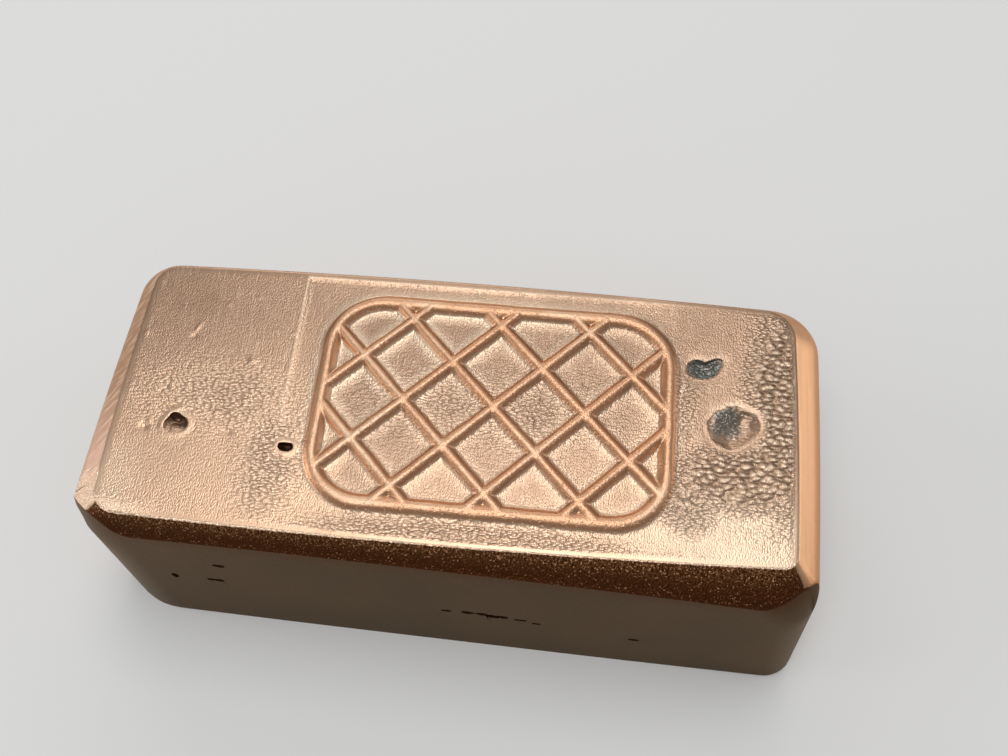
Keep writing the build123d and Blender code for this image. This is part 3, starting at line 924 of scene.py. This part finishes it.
def castCopper():
    material = bpy.data.materials.new("castCopper")
    material.use_nodes = True
    tree = material.node_tree
    tree.nodes.clear()
    bench = Bench(tree)
    tones, shares = copper["tones"], copper["shares"]

    def attribute(name):
        return bench.make("ShaderNodeAttribute", {"attribute_name": name}, out="Fac")

    def pebbles(vector, scale):
        # rounded bumps with narrow grooves between them, 0 in the grooves and 1 on top
        settings = {"feature": "F1", "voronoi_dimensions": "2D"}
        away = bench.make("ShaderNodeTexVoronoi", settings, {"Vector": vector, "Scale": scale}, "Distance")
        return bench.larger(1 - away * away * shares["pebbleFall"], 0)

    def between(value, low, high, strength=1, jag=0):
        share = bench.rise(value + ragged * jag if jag else value, low, high)
        return share if strength == 1 else share * strength

    def zone(name, value):
        return between(value, *copper["zones"][name])

    def layered(colour, *layers):
        # each layer covers its share of what lies below it
        for share, tone in layers:
            colour = bench.blend(share, colour, tones[tone] if isinstance(tone, str) else tone)
        return colour

    # places and directions
    place = bench.make("ShaderNodeTexCoord", out="Object")
    split = bench.make("ShaderNodeSeparateXYZ", {}, {"Vector": place})
    x = split / mm - bar["shift"][0]
    y = split.other("Y") / mm - bar["shift"][1]
    z = split.other("Z") / mm
    facing = bench.make("ShaderNodeSeparateXYZ", {}, {"Vector": bench.make("ShaderNodeNewGeometry", out="Normal")})
    forward = 0 - facing.other("Y")
    middleX, middleY = [value / mm - moved for value, moved in zip(skin["Frame Middle"], bar["shift"])]

    # textures
    rotation = {"Vector": place, "Angle": copper["hatchTurn"]}
    turned = bench.make("ShaderNodeVectorRotate", {"rotation_type": "X_AXIS"}, rotation)
    scale, reach = copper["drift"]
    shift = {0: bench.noise(place, scale, 1.0, out="Color"), 1: (reach, reach, reach), 2: place}
    shifted = bench.make("ShaderNodeVectorMath", {"operation": "MULTIPLY_ADD"}, shift)
    texture = {}
    for name, (stretch, *settings) in copper["noises"].items():
        texture[name] = bench.noise(bench.stretch(turned if name == "hatch" else place, stretch), *settings)
    for name, (stretch, scale) in copper["pebbles"].items():
        texture[name] = pebbles(bench.stretch(place if name == "fine" else shifted, stretch), scale)
    ragged = texture["ragged"] - 0.5
    cloud, grit, middle, coarse = [texture[name] for name in ("cloud", "grit", "middle", "coarse")]

    # what lies where
    ring, top, rib, halo, lip = [attribute(name) for name in ("ring", "top", "rib", "halo", "lip")]
    slag, hollowShade, wrinkle, ground = [attribute(name) for name in ("slag", "pore", "wrinkle", "ground")]
    hollow = zone("hollow", hollowShade)
    # the band where it faces forward, found by its normal: there the strip's dark tone, partly oxide and partly
    # painted shade, replaces the band's
    front = zone("front", forward - bench.size(facing) * shares["frontSide"]) * zone("offRidge", ring)
    strip = zone("upper", ring) * front * (1 - ground)
    elsewhere = (1 - front) * (1 - ground)
    band = zone("band", ring) * elsewhere
    wall = zone("wall", ring) * (1 - ground)
    ridge = zone("ridgeFrom", ring) * zone("ridgeTo", ring) * zone("ridgeFront", forward) * (1 - ground)
    # the rounded front left corner, where a painted highlight is laid as on the ridge
    corner = zone("cornerX", x) * zone("cornerY", y) * zone("offRidge", ring) * elsewhere * (1 - wall)
    margin = zone("marginX", x) * zone("marginY", y) * zone("marginRing", ring) * elsewhere
    corner = bench.larger(corner, margin)
    wrinkled = wrinkle + (cloud - 0.5) * shares["cloudWrinkle"]
    crumpled = (zone("crumpled", wrinkled) + shares["crumpled"]) * (1 - zone("crumpledOver", wrinkle))
    pebbled = zone("pebbled", wrinkled)

    # colours of the top
    field = zone("fieldX", bench.size(x - middleX)) * zone("fieldY", bench.size(y - middleY))
    # painted shade towards the back and the left of the top, with darker mottle, a darker patch at the right and a
    # darker field inside the frame
    dull = zone("shadeBack", y) * (zone("shadeLeft", x) + shares["dull"]) + zone("dullCloud", cloud)
    dull = dull + zone("dullRightX", x) * zone("dullRightY", y) + field * (1 - halo)
    # painted shade in the grooves between the crumples and the pebbles
    grooveShade = (1 - middle) * crumpled * shares["middleGroove"] + (1 - coarse) * pebbled * shares["coarseGroove"]
    # painted highlights on the crests of the crumples and pebbles, and towards the front left and front right of the
    # top
    crestHighlights = bench.larger(zone("middleCrest", middle) * crumpled, zone("coarseCrest", coarse) * pebbled)
    frontHighlight = bench.larger(zone("highlightRight", x), zone("highlightLeft", x)) * zone("highlightFront", y)
    # painted highlight on the halos round the ribs, strongest towards their back left
    haloHighlight = zone("haloOuter", y - x * shares["haloSlope"]) + shares["halo"]

    # colours of the sides: painted shade on the band at the back, where it faces back, and on its outer rounding and
    # foot at the right end; the left's pale pink is a painted highlight
    bandShade = bench.larger(zone("bandFoot", ring) * zone("rightEnd", x), zone("bandBehind", facing.other("Y")))
    bandColour = layered(
        tones["bandLeft"],
        (zone("bandBack", y), "bandBack"), (zone("hatched", texture["hatch"]), "topPale"),
        (zone("bandRight", x), "bandRight"), (zone("streaked", texture["streaks"]), "wall"),
        (zone("bandOuter", ring) * zone("rightEnd", x), "relief"), (bandShade, "relief"),
    )
    wallColour = layered(tones["wall"], (zone("mottledCloud", cloud) + zone("mottledGrit", grit), "wallDull"))
    gold = zone("goldUpper", ring) * zone("goldGrains", texture["grains"])
    # pale flecks on the strip are painted highlights
    stripHighlights = zone("stripHighlights", grit + zone("stripHighlightsUpper", ring))
    stripColour = layered(tones["strip"], (gold, "stripGold"), (stripHighlights, "stripSpark"))
    # the ground face's near-black is painted shade for the dark it reflects, with mottle
    groundColour = layered(tones["ground"], (zone("groundCloud", cloud), "groundPale"))
    # pale flecks on the slag are painted highlights
    slagColour = layered(tones["slag"], (zone("slagGrit", grit), "slagPale"))
    colour = layered(
        tones["top"],
        # painted shade and darker mottle
        (bench.smaller(dull, 1), "topDull"),
        (bench.smaller(grooveShade, 1), "topDull"),
        # painted highlights
        (bench.larger(crestHighlights, frontHighlight), "topPale"),
        (zone("brushed", texture["brushed"]), "topPale"),
        # painted highlight on the halos
        (halo * (1 - rib) * haloHighlight, "topPale"),
        (zone("relief", rib), "relief"),
        (zone("reliefCore", rib) * zone("reliefGrit", grit), "wall"),
        # painted highlight on the ribs' crowns
        (zone("crown", rib) * (zone("crownCloud", cloud) + shares["crown"]), "topPale"),
        # painted highlight along the lips
        (lip * shares["lip"], "topPale"),
        (band, bandColour),
        (wall, wallColour),
        (strip, stripColour),
        # painted highlights along the ridge and on the front left corner
        (bench.larger(ridge, corner) * zone("ridgeHighlightGrit", grit), "ridgeSpark"),
        (ground, groundColour),
        # the strip's dark tone, partly painted shade, reaches raggedly onto the ground face's top edge
        (ground * zone("groundHigh", z) * zone("groundEdge", ring), "strip"),
        # painted highlight on the hollows' walls that face forward
        (hollow * zone("hollowFrontHighlight", forward), "topPale"),
        # painted shade inside the hollows
        (hollow * hollowShade, "pore"),
        (slag, slagColour),
    )

    # roughness and heights of each area
    plain = top * (1 - rib) * (1 - hollow)
    upper = band * (1 - wall)
    areas = {
        "grained": plain * (wrinkle + 1), "crumpled": plain * crumpled, "pebbled": plain * pebbled, "plain": plain,
        "relief": rib, "hollow": hollow * (1 - slag), "strip": strip, "ridge": ridge, "corner": corner, "band": band,
        "upper": upper, "upperLeft": upper * zone("hatchLeft", x), "wall": wall, "ground": ground, "slag": slag,
    }
    rough = dict(copper["roughness"])
    plainRough = rough.pop("plain")
    roughness = (cloud - 0.5) * shares["cloudRough"] + plainRough
    for name, value in rough.items():
        roughness = roughness + areas[name] * (value - plainRough)
    height = 0
    for name, lifts in copper["lifts"].items():
        for kind, lift in lifts.items():
            height = texture[kind] * areas[name] * (lift * mm * mm) + height
    bump = bench.make("ShaderNodeBump", {}, {"Strength": 1.0, "Distance": 1.0, "Height": height}, "Normal")

    shader = bench.make("ShaderNodeBsdfPrincipled", {}, {
        "Base Color": colour, "Metallic": 1 - slag * shares["slagMetal"], "Roughness": roughness, "Normal": bump,
        "Specular Tint": copper["specularTint"],
    })
    bench.make("ShaderNodeOutputMaterial", {}, {"Surface": shader})
    return material


def paleFloor():
    material = bpy.data.materials.new("paleFloor")
    material.use_nodes = True
    shader = material.node_tree.nodes["Principled BSDF"]
    for name, value in studio["floor"].items():
        shader.inputs[name].default_value = value
    mesh = bpy.data.meshes.new("floor")
    side = studio["floorSide"]
    mesh.from_pydata([(-side, -side, 0), (side, -side, 0), (side, side, 0), (-side, side, 0)], [], [(0, 1, 2, 3)])
    mesh.materials.append(material)
    floor = addObject("floor", mesh)


# Camera, lamps and floor, metres and watts
studio = {
    "cameraPlace": (0.011924, -0.048210, 0.144564),
    "cameraTurn": (25.0983, 0.7886, 5.5374),
    "lens": 35.714,
    "sensor": 36,
    "nearest": 0.005,
    "floorSide": 3.0,
    "floor": {"Base Color": (0.8, 0.8, 0.79, 1), "Roughness": 0.9, "Specular IOR Level": 0.1},
    "world": (0.3, 0.3, 0.3, 1),
    # place, aim, length, width, power
    "lamps": {
        "topLamp": ((-0.05, 0.02, 0.72), (0, 0, 0.02), 0.8, 0.24, 2.75),
        "backLamp": ((-0.15, 0.75, 0.36), (0, 0, 0.02), 0.7, 0.2, 1.2),
        "leftLamp": ((-0.72, -0.05, 0.16), (0, 0, 0.02), 0.4, 0.25, 1.2),
        "rightLamp": ((0.72, 0.22, 0.16), (0, 0, 0.02), 0.4, 0.25, 0.55),
    },
}


def lightStudio():
    scene = bpy.context.scene
    lens = bpy.data.cameras.new("camera")
    lens.sensor_width = studio["sensor"]
    lens.lens = studio["lens"]
    lens.clip_start = studio["nearest"]
    camera = addObject("camera", lens)
    camera.location = studio["cameraPlace"]
    camera.rotation_euler = [math.radians(angle) for angle in studio["cameraTurn"]]
    scene.camera = camera
    for name, (spot, aim, length, width, power) in studio["lamps"].items():
        lamp = bpy.data.lights.new(name, "AREA")
        lamp.shape = "RECTANGLE"
        lamp.size = length
        lamp.size_y = width
        lamp.energy = power
        held = addObject(name, lamp)
        held.location = spot
        held.rotation_euler = (Vector(aim) - Vector(spot)).to_track_quat("-Z", "Y").to_euler()
    world = bpy.data.worlds.new("studio")
    scene.world = world
    world.use_nodes = True
    world.node_tree.nodes["Background"].inputs["Color"].default_value = studio["world"]
    scene.view_settings.view_transform = "Standard"


lightStudio()
paleFloor()
material = castCopper()
body = castBody()
print("body", len(body.data.polygons))
dressBody(body, material)
sharpenEdges(body.data)
body.data.materials.clear()
body.data.materials.append(material)
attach(body, "root")
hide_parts("ingot")
